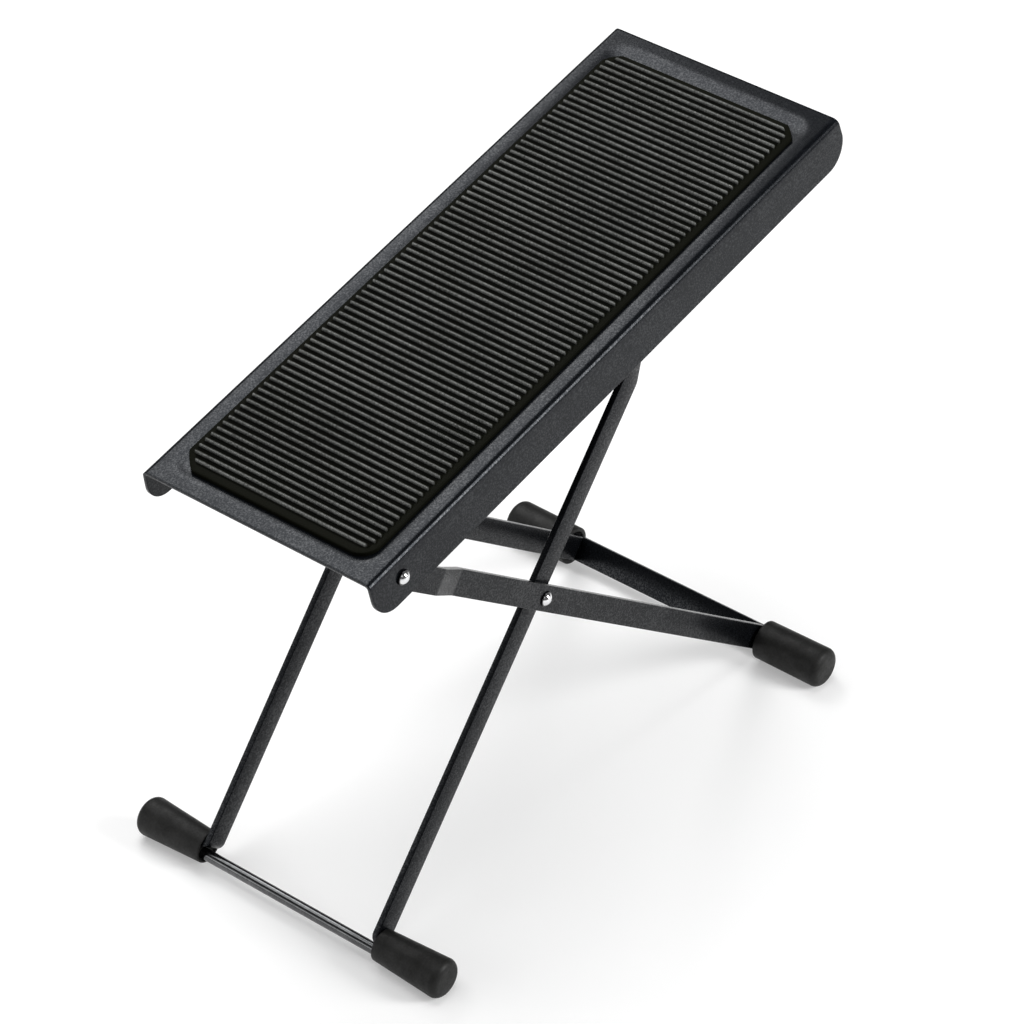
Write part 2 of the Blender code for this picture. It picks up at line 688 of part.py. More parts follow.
def build_crossing(axis, chrome, zinc):
    for side_name, side in SIDES:
        profile = rivet_profile(CROSSING_SEAT - CROSSING_CLINCH_OUT)
        add_turned("crossing_rivet_" + side_name, profile, SMALL_LATHE_STEPS, axis, chrome,
                   outward(side, 0, CROSSING_SEAT))
        spacer = ring_profile(HOLE_RADIUS, SPACER_RADIUS, SPACER_THICKNESS)
        add_turned("crossing_spacer_" + side_name, spacer, SMALL_LATHE_STEPS, axis, zinc,
                   outward(side, 0, SPACER_OUT))
        ring = ring_profile(HOLE_RADIUS, WASHER_RADIUS, WASHER)
        add_turned("crossing_washer_" + side_name, ring, SMALL_LATHE_STEPS, axis, zinc,
                   outward(side, 0, CROSSING_WASHER_OUT))


# Front frame: legs, front rod, feet and the locking rod

def build_legs(axis, paint, crossing_hole, rod_hole):
    for side_name, side in SIDES:
        spine = [
            (FRONT_TAB, side * FRONT_TAB_END),
            (FRONT_TAB, side * LEG_MID),
            (UPPER_LINK_LENGTH - LEG_JOGGLE_END - LEG_JOGGLE_RUN, side * LEG_MID),
            (UPPER_LINK_LENGTH - LEG_JOGGLE_END, side * LEG_TOP_MID),
            (UPPER_LINK_LENGTH + LEG_REACH, side * LEG_TOP_MID),
        ]
        radii = (tab_radius(LEG_THICKNESS), JOGGLE_RADIUS, JOGGLE_RADIUS)
        leg = add_strip("leg_" + side_name, spine, radii, LEG_WIDTH, LEG_THICKNESS, axis, paint)
        boolean(leg, crossing_hole)
        boolean(leg, rod_hole)


def build_front_rod(axis, paint):
    end = FRONT_TAB_END
    profile = [(0, end), (ROD_RADIUS, end), (ROD_RADIUS, -end), (0, -end)]
    add_turned("front_cross_rod", profile, SMALL_LATHE_STEPS, axis, paint, outward(1, FRONT_ROD, 0))


def build_front_feet(axis, rubber):
    turn = LINKAGE["leg_angle"]
    for side_name, side in SIDES:
        name = "front_foot_" + side_name
        profile = foot_profile(FRONT_FOOT_INNER_RADIUS, FRONT_FOOT_OUTER_RADIUS, FRONT_FOOT_LENGTH)
        seat = outward(side, -LEG_LOWER_LENGTH, FRONT_FOOT_IN, turn)
        foot = add_turned(name, profile, LATHE_STEPS, axis, rubber, seat)
        low = FRONT_TAB - LEG_THICKNESS / 2 - GAP
        high = FRONT_TAB + LEG_THICKNESS / 2 + GAP
        mouth = FRONT_FOOT_IN - OVERRUN
        reach = LEG_REACH + GAP
        boolean(foot, slot_cutter(name + "_slot", axis, side, mouth, FRONT_TAB_END + GAP, low, high, reach))
        boolean(foot, slot_cutter(name + "_mouth", axis, side, mouth - GAP, FRONT_FOOT_IN + FOOT_MOUTH_DEPTH,
                                  FRONT_TAB, high + FOOT_MOUTH_EASE, reach + GAP / 2))
        boolean(foot, cylinder_along_y(name + "_bore", ROD_RADIUS + GAP, FRONT_TAB_END + GAP, axis,
                                       along=FRONT_ROD, side=side, start=mouth))


def build_locking_rod(axis, zinc):
    shoulder = LEG_TOP_MID - LEG_THICKNESS / 2 - GAP
    washer_in = LEG_TOP_MID + LEG_THICKNESS / 2 + GAP
    head = washer_in + ROD_WASHER + GAP
    half = [
        (0, head + ROD_HEAD),
        (ROD_HEAD_RADIUS - ROD_HEAD / 2, head + ROD_HEAD),
        (ROD_HEAD_RADIUS, head + ROD_HEAD / 2),
        (ROD_HEAD_RADIUS, head),
        (ROD_SEAT_RADIUS, head),
        (ROD_SEAT_RADIUS, shoulder),
        (ROD_RADIUS, shoulder),
    ]
    profile = half + [(radius, -height) for radius, height in reversed(half)]
    add_turned("locking_rod", profile, SMALL_LATHE_STEPS, axis, zinc, outward(1, UPPER_LINK_LENGTH, 0))
    for side_name, side in SIDES:
        ring = ring_profile(ROD_SEAT_RADIUS + HOLE_CLEARANCE, ROD_WASHER_RADIUS, ROD_WASHER)
        add_turned("locking_rod_washer_" + side_name, ring, SMALL_LATHE_STEPS, axis, zinc,
                   outward(side, UPPER_LINK_LENGTH, washer_in + ROD_WASHER))


# The whole footrest

def build():
    paint = new_material("plate_paint", (0.045, 0.047, 0.050), 0.45, 0.0)
    frame_paint = new_material("frame_paint", (0.035, 0.035, 0.036), 0.38, 0.0)
    rubber = new_material("mat_rubber", (0.012, 0.012, 0.011), 0.55, 0.0)
    foot_rubber = new_material("foot_rubber", (0.016, 0.016, 0.017), 0.70, 0.0)
    chrome = new_material("rivet_chrome", (0.78, 0.78, 0.80), 0.14, 1.0)
    zinc = new_material("zinc_plate", (0.60, 0.61, 0.62), 0.35, 1.0)

    rear = add_axis("rear_frame_axis", LINKAGE["crossing"], LINKAGE["arm_angle"])
    front = add_axis("leg_fold_axis", LINKAGE["crossing"], LINKAGE["leg_angle"])
    plate = add_axis("plate_fold_axis", LINKAGE["hinge"], LINKAGE["tilt"])

    crossing_hole = cylinder_along_y("crossing_hole", HOLE_RADIUS, PLATE_WIDTH, rear)
    hinge_hole = cylinder_along_y("hinge_hole", HOLE_RADIUS, PLATE_WIDTH, plate)
    rod_hole = cylinder_along_y("rod_hole", ROD_SEAT_RADIUS + HOLE_CLEARANCE, PLATE_WIDTH, front,
                                along=UPPER_LINK_LENGTH)

    build_plate(plate, paint, hinge_hole)
    build_mat(plate, rubber)
    build_racks(plate, paint)
    build_hinges(plate, chrome, zinc)

    build_arms(rear, frame_paint, hinge_hole, crossing_hole)
    build_rear_bar(rear, frame_paint)
    build_rear_feet(rear, foot_rubber)
    build_crossing(rear, chrome, zinc)

    build_legs(front, frame_paint, crossing_hole, rod_hole)
    build_front_rod(front, frame_paint)
    build_front_feet(front, foot_rubber)
    build_locking_rod(front, zinc)


clear_scene()
PARTS = new_collection("guitar_footrest")
CUTTERS = new_collection("cutters")
build()
for part in PARTS.objects:
    if part.type == "MESH":
        smooth(part.data)
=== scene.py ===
# Folding guitar footrest: the looks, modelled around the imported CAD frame.
# Metres, floor at z = 0, +X towards the raised end of the plate, -Y the near side.

import json
import math

import bmesh
import bpy
from mathutils import Matrix, Vector


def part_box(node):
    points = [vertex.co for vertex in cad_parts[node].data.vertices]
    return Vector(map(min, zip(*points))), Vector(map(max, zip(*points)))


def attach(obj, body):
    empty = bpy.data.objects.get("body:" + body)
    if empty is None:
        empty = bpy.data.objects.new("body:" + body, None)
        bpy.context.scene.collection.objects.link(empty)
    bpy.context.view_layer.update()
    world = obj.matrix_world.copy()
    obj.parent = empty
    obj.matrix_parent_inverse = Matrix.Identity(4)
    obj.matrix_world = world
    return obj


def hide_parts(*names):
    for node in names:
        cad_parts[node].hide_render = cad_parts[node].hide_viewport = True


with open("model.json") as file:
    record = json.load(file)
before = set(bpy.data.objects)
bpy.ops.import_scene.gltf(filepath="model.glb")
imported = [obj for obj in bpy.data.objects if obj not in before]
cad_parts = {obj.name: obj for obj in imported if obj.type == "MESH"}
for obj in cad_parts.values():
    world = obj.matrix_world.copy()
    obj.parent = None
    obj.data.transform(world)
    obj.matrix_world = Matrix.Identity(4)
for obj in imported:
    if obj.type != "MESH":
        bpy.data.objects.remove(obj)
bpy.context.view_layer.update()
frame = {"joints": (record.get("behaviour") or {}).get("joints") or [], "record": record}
print("frame loaded")

sides = (("near", -1), ("far", 1))
joints = {joint["name"]: joint for joint in frame["joints"]}
crossing = Vector(joints["leg_fold"]["pos_m"])
hinge = Vector(joints["plate_fold"]["pos_m"])
treadNormal = Vector(frame["record"]["mounts"][0]["axis"])
rodLow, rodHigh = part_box("locking_rod")
lockingAxis = (rodLow + rodHigh) / 2


def angleTo(start, end):
    return math.atan2(end.z - start.z, end.x - start.x)


def tiltedSpace(origin, angle):
    # local +X points up at the angle, local +Z square to it, local Y is the frame's Y
    return Matrix.Translation(origin) @ Matrix.Rotation(-angle, 4, "Y")


plateTilt = math.atan2(-treadNormal.x, treadNormal.z)
hingePlace = {"along": 0.0170, "depth": 0.0101}  # from the plate's low end and under its top face
plateSpace = tiltedSpace(hinge, plateTilt)
plateSpace = plateSpace @ Matrix.Translation((-hingePlace["along"], 0, hingePlace["depth"]))
armSpace = tiltedSpace(crossing, angleTo(crossing, hinge))
legSpace = tiltedSpace(crossing, angleTo(crossing, lockingAxis))
upperLink = (hinge - crossing).length


# shader nodes and groups that several materials share

def newMaterial(name):
    material = bpy.data.materials.new(name)
    material.use_nodes = True
    tree = material.node_tree
    return material, tree, tree.nodes["Principled BSDF"]


def newGroup(name, inputs, outputs):
    tree = bpy.data.node_groups.new(name, "ShaderNodeTree")
    for socketName, kind, value in inputs:
        socket = tree.interface.new_socket(socketName, in_out="INPUT", socket_type=kind)
        if value is not None:
            socket.default_value = value
    for socketName, kind in outputs:
        tree.interface.new_socket(socketName, in_out="OUTPUT", socket_type=kind)
    start = tree.nodes.new("NodeGroupInput")
    end = tree.nodes.new("NodeGroupOutput")
    return tree, start, end


def setOrLink(tree, value, socket):
    # a number or a colour is set on the socket, an output is linked to it
    if isinstance(value, (int, float)):
        socket.default_value = value
    elif isinstance(value, tuple):
        socket.default_value = (*value, 1)
    else:
        tree.links.new(value, socket)


def addNoise(tree, vector, scale, detail, roughness):
    noise = tree.nodes.new("ShaderNodeTexNoise")
    noise.inputs["Detail"].default_value = detail
    noise.inputs["Roughness"].default_value = roughness
    tree.links.new(vector, noise.inputs["Vector"])
    setOrLink(tree, scale, noise.inputs["Scale"])
    return noise.outputs["Fac"]


def addRange(tree, value, low, high, toLow=0.0, toHigh=1.0):
    node = tree.nodes.new("ShaderNodeMapRange")
    sockets = ("Value", "From Min", "From Max", "To Min", "To Max")
    for socket, setting in zip(sockets, (value, low, high, toLow, toHigh)):
        setOrLink(tree, setting, node.inputs[socket])
    return node.outputs["Result"]


def addMath(tree, operation, first, second):
    node = tree.nodes.new("ShaderNodeMath")
    node.operation = operation
    setOrLink(tree, first, node.inputs[0])
    setOrLink(tree, second, node.inputs[1])
    return node.outputs[0]


def addMix(tree, factor, first, second):
    node = tree.nodes.new("ShaderNodeMix")
    node.data_type = "RGBA"
    setOrLink(tree, factor, node.inputs["Factor"])
    # sockets 6 and 7 are the two colours, output 2 is the mixed one
    setOrLink(tree, first, node.inputs[6])
    setOrLink(tree, second, node.inputs[7])
    return node.outputs[2]


def addBump(tree, shader, height, strength, distance):
    bump = tree.nodes.new("ShaderNodeBump")
    bump.inputs["Strength"].default_value = strength
    bump.inputs["Distance"].default_value = distance
    tree.links.new(height, bump.inputs["Height"])
    tree.links.new(bump.outputs["Normal"], shader.inputs["Normal"])


def readAttribute(tree, name):
    node = tree.nodes.new("ShaderNodeAttribute")
    node.attribute_name = name
    return node.outputs["Fac"]


def useGroup(tree, group, vector, settings):
    node = tree.nodes.new("ShaderNodeGroup")
    node.node_tree = group
    tree.links.new(vector, node.inputs["Vector"])
    for name, value in settings.items():
        node.inputs[name].default_value = value
    return node


grainShape = {"detail": {"Grain": 3.0, "Cloud": 4.0}, "roughness": 0.6, "spread": (0.3, 0.7),
              "swing": (-0.5, 0.5), "middle": 0.5}


def makeGrainGroup():
    # fine speckle of a powder coat or moulded rubber over slow, cloudy shading
    tree, start, end = newGroup(
        "surfaceGrain",
        (("Vector", "NodeSocketVector", None), ("Grain Scale", "NodeSocketFloat", 1500.0),
         ("Cloud Scale", "NodeSocketFloat", 45.0), ("Grain Amount", "NodeSocketFloat", 0.5),
         ("Cloud Amount", "NodeSocketFloat", 0.3)),
        (("Mask", "NodeSocketFloat"), ("Height", "NodeSocketFloat")))
    parts = []
    for layer, detail in grainShape["detail"].items():
        noise = addNoise(tree, start.outputs["Vector"], start.outputs[layer + " Scale"], detail,
                         grainShape["roughness"])
        swing = addRange(tree, noise, *grainShape["spread"], *grainShape["swing"])
        parts.append(addMath(tree, "MULTIPLY", swing, start.outputs[layer + " Amount"]))
        if layer == "Grain":
            tree.links.new(noise, end.inputs["Height"])
    mask = addMath(tree, "ADD", addMath(tree, "ADD", *parts), grainShape["middle"])
    tree.links.new(mask, end.inputs["Mask"])
    return tree


speckShape = {"chosen": (0.80, 0.95), "patches": (0.42, 0.62), "patchDetail": 2.0, "patchRoughness": 0.55}


def makeSpeckGroup():
    # scattered tiny bright specks: dust and scuffs
    tree, start, end = newGroup(
        "dustSpecks",
        (("Vector", "NodeSocketVector", None), ("Speck Scale", "NodeSocketFloat", 700.0),
         ("Speck Size", "NodeSocketFloat", 0.16), ("Patch Scale", "NodeSocketFloat", 60.0)),
        (("Mask", "NodeSocketFloat"),))
    cells = tree.nodes.new("ShaderNodeTexVoronoi")
    tree.links.new(start.outputs["Vector"], cells.inputs["Vector"])
    tree.links.new(start.outputs["Speck Scale"], cells.inputs["Scale"])
    dot = addRange(tree, cells.outputs["Distance"], 0.0, start.outputs["Speck Size"], 1.0, 0.0)
    pick = tree.nodes.new("ShaderNodeSeparateColor")
    tree.links.new(cells.outputs["Color"], pick.inputs["Color"])
    chosen = addRange(tree, pick.outputs[0], *speckShape["chosen"])
    cloud = addNoise(tree, start.outputs["Vector"], start.outputs["Patch Scale"],
                     speckShape["patchDetail"], speckShape["patchRoughness"])
    patch = addRange(tree, cloud, *speckShape["patches"])
    mask = addMath(tree, "MULTIPLY", addMath(tree, "MULTIPLY", dot, chosen), patch)
    tree.links.new(mask, end.inputs["Mask"])
    return tree


grainGroup = makeGrainGroup()
speckGroup = makeSpeckGroup()


# camera, lights and floor

camera = {
    "azimuth": -51.087,
    "elevation": 37.799,
    "roll": -0.229,
    "place": (-1.12726, -0.91490, 1.24930),
    "lens": 158.21,
    "sensor": 36.0,
    "clip": (0.05, 50),
}


def makeCamera():
    data = bpy.data.cameras.new("photoCamera")
    data.lens = camera["lens"]
    data.sensor_width = camera["sensor"]
    data.clip_start, data.clip_end = camera["clip"]
    item = bpy.data.objects.new("photoCamera", data)
    turn = Matrix.Rotation(math.radians(camera["azimuth"]), 4, "Z")
    turn = turn @ Matrix.Rotation(math.radians(90 - camera["elevation"]), 4, "X")
    turn = turn @ Matrix.Rotation(math.radians(camera["roll"]), 4, "Z")
    item.matrix_world = Matrix.Translation(camera["place"]) @ turn
    bpy.context.scene.collection.objects.link(item)
    bpy.context.scene.camera = item


# a softbox overhead with a weaker wing on its far side, a tall one on the near side, a low card at the
# back and a fill by the camera
lamps = {
    "overhead": {"place": (0.4145, 0.651, 1.50), "turn": 58, "size": (2.20, 0.44), "radiance": 5.4},
    "overheadWing": {"place": (-0.185, 0.792, 1.50), "turn": 58, "size": (1.80, 0.75), "radiance": 2.6},
    "nearBox": {"place": (0.53, -1.31, 0.76), "aim": (0, 0, 0.25), "size": (0.50, 0.80), "radiance": 15.0},
    "farCard": {"place": (-1.65, 1.08, 0.62), "aim": (0, 0, 0.10), "size": (1.60, 0.75), "radiance": 2.1},
    "cameraFill": {"place": (-1.30, -1.15, 1.75), "aim": (0, 0, 0.1), "size": (1.0, 1.0), "radiance": 1.2},
}


def makeLamps():
    for name, lamp in lamps.items():
        data = bpy.data.lights.new(name, "AREA")
        data.shape = "RECTANGLE"
        data.size, data.size_y = lamp["size"]
        data.energy = lamp["radiance"] * math.pi * data.size * data.size_y
        if "aim" in lamp:
            aim = Vector(lamp["aim"]) - Vector(lamp["place"])
            turn = aim.to_track_quat("-Z", "Y").to_matrix().to_4x4()
        else:
            turn = Matrix.Rotation(math.radians(lamp["turn"]), 4, "Z")
        item = bpy.data.objects.new(name, data)
        item.matrix_world = Matrix.Translation(lamp["place"]) @ turn
        bpy.context.scene.collection.objects.link(item)


studio = {"roomLight": 0.12, "floorColor": 0.72, "floorRoughness": 0.9, "floorGlow": 0.30, "floorSize": 40.0}


def makeWorld():
    world = bpy.data.worlds.new("studio")
    bpy.context.scene.world = world
    world.use_nodes = True
    shade = world.node_tree.nodes["Background"]
    shade.inputs["Strength"].default_value = studio["roomLight"]
    shade.inputs["Color"].default_value = (1, 1, 1, 1)


def makeFloor():
    bm = bmesh.new()
    bmesh.ops.create_grid(bm, x_segments=1, y_segments=1, size=studio["floorSize"] / 2)
    mesh = bpy.data.meshes.new("studioFloor")
    bm.to_mesh(mesh)
    bm.free()
    floor = bpy.data.objects.new("studioFloor", mesh)
    material, tree, shader = newMaterial("studioFloor")
    shader.inputs["Base Color"].default_value = (studio["floorColor"],) * 3 + (1,)
    shader.inputs["Roughness"].default_value = studio["floorRoughness"]
    shader.inputs["Specular IOR Level"].default_value = 0.0
    # a little white of its own, to the camera and in reflections, under the shadow that it keeps
    rays = tree.nodes.new("ShaderNodeLightPath")
    seen = rays.outputs["Is Camera Ray"]
    for name in ("Is Glossy Ray", "Is Transmission Ray"):
        seen = addMath(tree, "MAXIMUM", seen, rays.outputs[name])
    shader.inputs["Emission Color"].default_value = (1, 1, 1, 1)
    glow = addMath(tree, "MULTIPLY", seen, studio["floorGlow"])
    tree.links.new(glow, shader.inputs["Emission Strength"])
    mesh.materials.append(material)
    bpy.context.scene.collection.objects.link(floor)


bpy.context.scene.view_settings.view_transform = "Standard"
makeCamera()
makeLamps()
makeWorld()
makeFloor()
print("camera, lamps and floor made")


# finishes

def startFinish(name, setting):
    # a material with the grain that its colours and roughness follow
    material, tree, shader = newMaterial(name)
    vector = tree.nodes.new("ShaderNodeTexCoord").outputs["Object"]
    grain = useGroup(tree, grainGroup, vector, setting["grain"])
    addBump(tree, shader, grain.outputs["Height"], *setting["bump"])
    return material, tree, shader, vector, grain.outputs["Mask"]


def roughenBy(tree, shader, mask, roughness):
    # smoothest where the mask is high
    low, high = roughness
    tree.links.new(addRange(tree, mask, 0.0, 1.0, high, low), shader.inputs["Roughness"])


powderCoat = {
    "plate": {
        "dark": (0.0010, 0.0011, 0.0013), "light": (0.0050, 0.0062, 0.0084),
        "roughness": (0.20, 0.27), "specular": 0.14, "tint": (0.84, 0.90, 1.0), "sparkle": 0.32,
        "grain": {"Grain Scale": 1350.0, "Cloud Scale": 40.0, "Grain Amount": 1.0, "Cloud Amount": 0.20},
        "bump": (0.35, 0.00004),
    },
    "frame": {
        "dark": (0.0010, 0.0010, 0.0011), "light": (0.0048, 0.0056, 0.0070),
        "roughness": (0.22, 0.32), "specular": 0.12, "tint": (0.84, 0.90, 1.0), "sparkle": 0.40,
        "grain": {"Grain Scale": 1350.0, "Cloud Scale": 55.0, "Grain Amount": 1.0, "Cloud Amount": 0.20},
        "bump": (0.35, 0.00016),
    },
    "rod": {
        "dark": (0.0010, 0.0010, 0.0010), "light": (0.0035, 0.0036, 0.0038),
        "roughness": (0.12, 0.20), "specular": 1.0, "tint": (0.95, 0.97, 1.0), "sparkle": 1.0,
        "grain": {"Grain Scale": 900.0, "Cloud Scale": 90.0, "Grain Amount": 0.5, "Cloud Amount": 0.5},
        "bump": (0.35, 0.00003),
    },
}
sparkleRange = (0.42, 0.85)  # where the grain starts to glint and where it glints most


def makePowderCoat(name, setting):
    material, tree, shader, vector, mask = startFinish(name, setting)
    tree.links.new(addMix(tree, mask, setting["dark"], setting["light"]), shader.inputs["Base Color"])
    roughenBy(tree, shader, mask, setting["roughness"])
    shader.inputs["Specular IOR Level"].default_value = setting["specular"]
    shader.inputs["Specular Tint"].default_value = (*setting["tint"], 1)
    sparkle = addRange(tree, mask, *sparkleRange, 0.0, setting["sparkle"])
    tree.links.new(sparkle, shader.inputs["Coat Weight"])
    shader.inputs["Coat Roughness"].default_value = setting["roughness"][0]
    return material


matRubber = {
    # the second colour here is a painted shade for the bottoms of the grooves
    "clean": (0.0056, 0.0059, 0.0039), "grooveShadeColor": (0.0014, 0.0015, 0.0010),
    # the worn colour is wear and a painted highlight at once, on the ribs' low-facing edges
    "wornAndHighlit": (0.245, 0.251, 0.240), "speck": (0.50, 0.50, 0.48),
    "cleanRoughness": 0.40, "wornRoughness": 0.50, "specular": 0.01, "scuff": (0.30, 1.25),
    "sheen": 0.75, "sheenRoughness": 0.35,
    "grain": {"Grain Scale": 1300.0, "Cloud Scale": 30.0, "Grain Amount": 1.0, "Cloud Amount": 0.4},
    "specks": {"Speck Scale": 620.0, "Speck Size": 0.36, "Patch Scale": 45.0},
    "bump": (0.3, 0.00010),
}


def makeMatRubber():
    # smooth rubber with painted shade darkening the grooves; the ribs' upper edges towards the low end worn
    # to a duller grey that is also a painted highlight, with bright specks
    material, tree, shader, vector, mask = startFinish("matRubber", matRubber)
    wearAndHighlight = readAttribute(tree, "wearAndHighlight")
    # wear together with a painted highlight, broken up by the grain
    scuffedAndHighlit = addMath(tree, "MULTIPLY", wearAndHighlight, addRange(tree, mask, 0.0, 1.0, *matRubber["scuff"]))
    # painted shade: darker towards the bottom of each groove between the ribs
    rubber = addMix(tree, readAttribute(tree, "grooveShade"), matRubber["clean"], matRubber["grooveShadeColor"])
    wornAndHighlit = addMix(tree, scuffedAndHighlit, rubber, matRubber["wornAndHighlit"])
    specks = useGroup(tree, speckGroup, vector, matRubber["specks"])
    shown = addMath(tree, "MULTIPLY", specks.outputs["Mask"], wearAndHighlight)
    tree.links.new(addMix(tree, shown, wornAndHighlit, matRubber["speck"]), shader.inputs["Base Color"])
    rough = addRange(tree, wearAndHighlight, 0.0, 1.0, matRubber["cleanRoughness"], matRubber["wornRoughness"])
    tree.links.new(rough, shader.inputs["Roughness"])
    shader.inputs["Specular IOR Level"].default_value = matRubber["specular"]
    sheen = addMath(tree, "MULTIPLY", scuffedAndHighlit, matRubber["sheen"])
    tree.links.new(sheen, shader.inputs["Coat Weight"])
    shader.inputs["Coat Roughness"].default_value = matRubber["sheenRoughness"]
    return material


footRubber = {
    "dark": (0.0040, 0.0040, 0.0036), "light": (0.0160, 0.0160, 0.0155),
    "roughness": (0.42, 0.62), "specular": 0.22,
    "grain": {"Grain Scale": 1100.0, "Cloud Scale": 150.0, "Grain Amount": 0.5, "Cloud Amount": 0.7},
    "bump": (0.4, 0.00012),
}


def makeFootRubber():
    material, tree, shader, vector, mask = startFinish("footRubber", footRubber)
    tree.links.new(addMix(tree, mask, footRubber["dark"], footRubber["light"]), shader.inputs["Base Color"])
    roughenBy(tree, shader, mask, footRubber["roughness"])
    shader.inputs["Specular IOR Level"].default_value = footRubber["specular"]
    return material


plated = {
    "chrome": {
        # rim: painted shadow colour for the ring round a rivet head's edge
        "bright": (0.90, 0.90, 0.91), "dull": (0.66, 0.66, 0.67), "rim": (0.012, 0.012, 0.013),
        "roughness": (0.07, 0.22), "bump": (0.3, 0.00003),
        "grain": {"Grain Scale": 900.0, "Cloud Scale": 220.0, "Grain Amount": 0.5, "Cloud Amount": 0.6},
    },
    "zinc": {
        # rim: the painted shadow colour; washers and the locking rod carry no rim layer
        "bright": (0.66, 0.67, 0.68), "dull": (0.46, 0.47, 0.49), "rim": (0.30, 0.31, 0.32),
        "roughness": (0.28, 0.46), "bump": (0.3, 0.00003),
        "grain": {"Grain Scale": 500.0, "Cloud Scale": 220.0, "Grain Amount": 0.5, "Cloud Amount": 0.6},
    },
}


def makePlated(name, setting):
    # bright metal, darkened by a painted shadow ring where the rim layer says so
    material, tree, shader, vector, mask = startFinish(name, setting)
    color = addMix(tree, mask, setting["dull"], setting["bright"])
    # painted shadow ring at the head's edge
    color = addMix(tree, readAttribute(tree, "rim"), color, setting["rim"])
    tree.links.new(color, shader.inputs["Base Color"])
    roughenBy(tree, shader, mask, setting["roughness"])
    shader.inputs["Metallic"].default_value = 1.0
    return material


finishes = {
    "plate_paint": makePowderCoat("platePaint", powderCoat["plate"]),
    "frame_paint": makePowderCoat("framePaint", powderCoat["frame"]),
    "rod_paint": makePowderCoat("rodPaint", powderCoat["rod"]),
    "mat_rubber": makeMatRubber(),
    "foot_rubber": makeFootRubber(),
    "rivet_chrome": makePlated("rivetChrome", plated["chrome"]),
    "zinc_plate": makePlated("zincPlate", plated["zinc"]),
}
print("finishes made")


# shared ways of making a piece

# how near to each other corners are joined into one
turnedWeld = 0.000001
stripWeld = 0.00001


def arcPoints(centre, radius, start, end, steps):
    points = []
    for step in range(steps + 1):
        angle = start + (end - start) * step / steps
        points.append((centre[0] + radius * math.cos(angle), centre[1] + radius * math.sin(angle)))
    return points


def addPiece(name, bm, space, finish, body, node, sharpAngle=35):
    # the mesh takes its place, the object stays at the origin
    bmesh.ops.transform(bm, matrix=space, verts=bm.verts)
    mesh = bpy.data.meshes.new(name)
    bm.to_mesh(mesh)
    bm.free()
    mesh.shade_smooth()
    mesh.set_sharp_from_angle(angle=math.radians(sharpAngle))
    piece = bpy.data.objects.new(name, mesh)
    mesh.materials.append(finishes[finish])
    bpy.context.scene.collection.objects.link(piece)
    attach(piece, body)
    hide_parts(node)
    return piece


def addWall(piece, thickness, offset):
    wall = piece.modifiers.new("wall", "SOLIDIFY")
    wall.thickness = thickness
    wall.offset = offset
    wall.use_even_offset = True


def addRounding(piece, width, segments=3, limit=40):
    rounding = piece.modifiers.new("rounding", "BEVEL")
    rounding.width = width
    rounding.segments = segments
    rounding.limit_method = "ANGLE"
    rounding.angle_limit = math.radians(limit)


def turnProfile(profile, steps):
    # (radius, height) pairs, turned about local Z; a profile off the axis is closed into a ring
    bm = bmesh.new()
    verts = [bm.verts.new((radius, 0, height)) for radius, height in profile]
    edges = [bm.edges.new(pair) for pair in zip(verts, verts[1:])]
    if profile[0][0] > 0:
        edges.append(bm.edges.new((verts[-1], verts[0])))
    bmesh.ops.spin(bm, geom=verts + edges, cent=(0, 0, 0), axis=(0, 0, 1), dvec=(0, 0, 0),
                   angle=math.tau, steps=steps, use_merge=True, use_duplicate=False)
    bmesh.ops.remove_doubles(bm, verts=bm.verts, dist=turnedWeld)
    bmesh.ops.recalc_face_normals(bm, faces=bm.faces)
    return bm


def mirrored(half):
    # a whole profile from its upper half
    return half + [(radius, -height) for radius, height in reversed(half)]


def outward(side, along, offset):
    # local +Z points outwards from the middle plane on one side
    return Matrix.Translation((along, side * offset, 0)) @ Matrix.Rotation(-side * math.pi / 2, 4, "X")


def bentStrip(spine, radii, width, segments, tipSegments):
    # open strip along an (x, y) spine, its bends rounded and its far end a half round
    bm = bmesh.new()
    verts = [bm.verts.new((x, y, -width / 2)) for x, y in spine]
    edges = [bm.edges.new(pair) for pair in zip(verts, verts[1:])]
    grown = bmesh.ops.extrude_edge_only(bm, edges=edges)
    moved = [item for item in grown["geom"] if isinstance(item, bmesh.types.BMVert)]
    bmesh.ops.translate(bm, vec=(0, 0, width), verts=moved)

    def at(vert, point):
        return (vert.co.xy - Vector(point)).length < stripWeld

    for index, radius in enumerate(radii, start=1):
        before = Vector(spine[index]) - Vector(spine[index - 1])
        after = Vector(spine[index + 1]) - Vector(spine[index])
        bend = [edge for edge in bm.edges if all(at(vert, spine[index]) for vert in edge.verts)]
        bmesh.ops.bevel(bm, geom=bend, offset=radius * math.tan(before.angle(after) / 2), segments=segments,
                        profile=0.5, affect="EDGES", clamp_overlap=False, material=-1)
    tips = [vert for vert in bm.verts if at(vert, spine[-1])]
    bmesh.ops.bevel(bm, geom=tips, offset=width / 2, segments=tipSegments, profile=0.5,
                    affect="VERTICES", clamp_overlap=True, material=-1)
    bmesh.ops.remove_doubles(bm, verts=bm.verts, dist=stripWeld)
    bmesh.ops.recalc_face_normals(bm, faces=bm.faces)
    return bm


def gridPlace(vert, columnCount, rowCount):
    # the column and row of a vertex in a fresh grid of size 1
    return round((vert.co.x + 0.5) * (columnCount - 1)), round((vert.co.y + 0.5) * (rowCount - 1))


# foot plate: a flat blank folded down at both sides, with a shallow pressed tray

